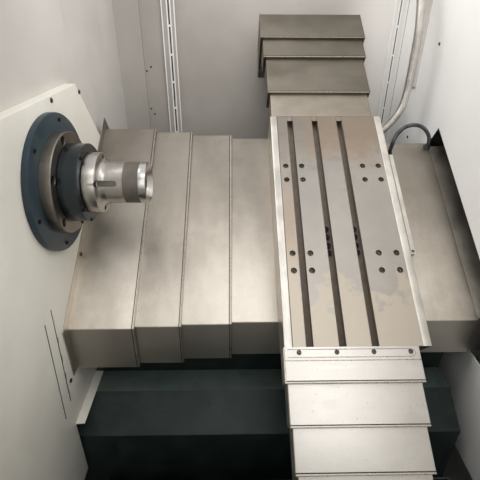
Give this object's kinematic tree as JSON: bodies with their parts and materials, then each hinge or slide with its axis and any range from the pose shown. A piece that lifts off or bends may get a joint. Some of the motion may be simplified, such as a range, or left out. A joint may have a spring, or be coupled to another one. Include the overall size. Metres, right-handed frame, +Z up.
{
  "type": "cnc turning lathe",
  "caption": "Slant-bed turning lathe with a collet chuck on its headstock, a T-slotted gang tool table under telescopic covers, guards, a sliding door and a chip tray.",
  "frame": {"origin": "centre of the machine's outline on the floor", "axes": "+X along the spindle, from the headstock to the tailstock end, +Y from the operator to the rear, +Z up"},
  "size_m": [2.03, 1.5756, 1.75],
  "materials": {
    "cast_green": "dark green machine enamel, semi-gloss",
    "cast_grey": "machined casting",
    "cream": "cream powder coat, semi-gloss",
    "wall": "light grey powder coat",
    "white": "white powder coat",
    "stainless": "ground stainless sheet with fine wear",
    "trim": "satin stainless",
    "ground": "ground steel with light oil stains",
    "steel": "ground and polished steel",
    "cap": "turned, satin",
    "ring": "dark blue-green enamel",
    "black": "blackened steel, oiled",
    "rubber": "matt",
    "conduit": "ribbed light grey sleeve",
    "glass": "clear laminated pane"
  },
  "bodies": {
    "base": {"base_casting": "cast_green", "bearing_cap": "cap", "control_panel": "cream", "door_rail": "steel", "drive_belt": "rubber", "electrical_cabinet": "white", "front_panel": "white", "grey_conduit": "conduit", "headstock": "cast_green", "headstock_plate": "cream", "left_cabinet": "white", "left_wall": "wall", "nose_ring": "ring", "rear_wall": "wall", "right_cabinet": "white", "right_wall": "white", "spindle_motor": "black", "z_cover_1": "stainless", "z_motor": "black", "z_rail_lower": "steel", "z_rail_upper": "steel"},
    "spindle": {"adapter_flange": "black", "chuck_body": "steel", "spindle_pulley": "cast_grey", "spindle_shaft": "steel"},
    "collet": {"collet": "steel"},
    "motor_pulley": {"motor_pulley": "cast_grey"},
    "saddle": {"black_conduit": "rubber", "right_cover_1": "stainless", "saddle": "cast_grey", "x_front_cover_4": "stainless", "x_motor": "black", "x_rail_left": "steel", "x_rail_right": "steel", "x_rear_cover_1": "stainless", "z_carriage_lower": "steel", "z_carriage_upper": "steel", "z_cover_4": "stainless"},
    "z_cover_2": {"z_cover_2": "stainless"},
    "z_cover_3": {"z_cover_3": "stainless"},
    "right_cover_2": {"right_cover_2": "stainless"},
    "z_screw": {"z_screw": "steel"},
    "slide": {"table": "ground", "trim_left": "trim", "trim_right": "trim", "x_carriage_left_front": "steel", "x_carriage_left_rear": "steel", "x_carriage_right_front": "steel", "x_carriage_right_rear": "steel", "x_front_cover_1": "stainless", "x_rear_cover_4": "stainless"},
    "x_rear_cover_2": {"x_rear_cover_2": "stainless"},
    "x_rear_cover_3": {"x_rear_cover_3": "stainless"},
    "x_front_cover_2": {"x_front_cover_2": "stainless"},
    "x_front_cover_3": {"x_front_cover_3": "stainless"},
    "x_screw": {"x_screw": "steel"},
    "door": {"door_frame": "white", "door_handle": "black", "door_window": "glass"},
    "chip_tray": {"chip_tray": "cast_green"}
  },
  "joints": [
    {"name": "spindle_spin", "type": "hinge", "parent": "base", "child": "spindle", "pos_m": [-0.3, -0.1105, 1.0835], "axis": [1, 0, 0], "continuous": true},
    {"name": "motor_pulley_spin", "type": "hinge", "parent": "base", "child": "motor_pulley", "pos_m": [-0.87, 0.2675, 0.6603], "axis": [1, 0, 0], "continuous": true},
    {"name": "collet_draw", "type": "slide", "parent": "spindle", "child": "collet", "axis": [1, 0, 0], "range_m": [0, 0.004]},
    {"name": "z_slide", "type": "slide", "parent": "base", "child": "saddle", "axis": [1, 0, 0], "range_m": [-0.24, 0.01]},
    {"name": "z_cover_2_slide", "type": "slide", "parent": "base", "child": "z_cover_2", "axis": [1, 0, 0], "range_m": [-0.0801, 0.0034]},
    {"name": "z_cover_3_slide", "type": "slide", "parent": "base", "child": "z_cover_3", "axis": [1, 0, 0], "range_m": [-0.1601, 0.0067]},
    {"name": "right_cover_2_slide", "type": "slide", "parent": "base", "child": "right_cover_2", "axis": [1, 0, 0], "range_m": [-0.12, 0.005]},
    {"name": "z_screw_spin", "type": "hinge", "parent": "base", "child": "z_screw", "pos_m": [0.2, 0.06763, 0.83487], "axis": [1, 0, 0], "range_deg": [-8641, 361]},
    {"name": "x_slide", "type": "slide", "parent": "saddle", "child": "slide", "axis": [0, 0.8192, 0.5736], "range_m": [-0.06, 0.11]},
    {"name": "x_rear_cover_2_slide", "type": "slide", "parent": "saddle", "child": "x_rear_cover_2", "axis": [0, 0.8192, 0.5736], "range_m": [-0.0201, 0.0368]},
    {"name": "x_rear_cover_3_slide", "type": "slide", "parent": "saddle", "child": "x_rear_cover_3", "axis": [0, 0.8192, 0.5736], "range_m": [-0.0401, 0.0734]},
    {"name": "x_front_cover_2_slide", "type": "slide", "parent": "saddle", "child": "x_front_cover_2", "axis": [0, 0.8192, 0.5736], "range_m": [-0.0401, 0.0734]},
    {"name": "x_front_cover_3_slide", "type": "slide", "parent": "saddle", "child": "x_front_cover_3", "axis": [0, 0.8192, 0.5736], "range_m": [-0.0201, 0.0368]},
    {"name": "x_screw_spin", "type": "hinge", "parent": "saddle", "child": "x_screw", "pos_m": [0.3465, -0.21541, 0.77707], "axis": [0, 0.8192, 0.5736], "range_deg": [-2161, 3961]},
    {"name": "door_slide", "type": "slide", "parent": "base", "child": "door", "axis": [1, 0, 0], "range_m": [0, 0.8]},
    {"name": "chip_tray_slide", "type": "slide", "parent": "base", "child": "chip_tray", "axis": [0, -1, 0], "range_m": [0, 0.3]}
  ],
  "couplings": [
    {"joint": "motor_pulley_spin", "follows": "spindle_spin", "ratio": 1.6667},
    {"joint": "z_cover_2_slide", "follows": "z_slide", "ratio": 0.33333},
    {"joint": "z_cover_3_slide", "follows": "z_slide", "ratio": 0.66667},
    {"joint": "right_cover_2_slide", "follows": "z_slide", "ratio": 0.5},
    {"joint": "z_screw_spin", "follows": "z_slide", "rad_per_m": 628.32},
    {"joint": "x_rear_cover_2_slide", "follows": "x_slide", "ratio": 0.33333},
    {"joint": "x_rear_cover_3_slide", "follows": "x_slide", "ratio": 0.66667},
    {"joint": "x_front_cover_2_slide", "follows": "x_slide", "ratio": 0.66667},
    {"joint": "x_front_cover_3_slide", "follows": "x_slide", "ratio": 0.33333},
    {"joint": "x_screw_spin", "follows": "x_slide", "rad_per_m": 628.32}
  ]
}
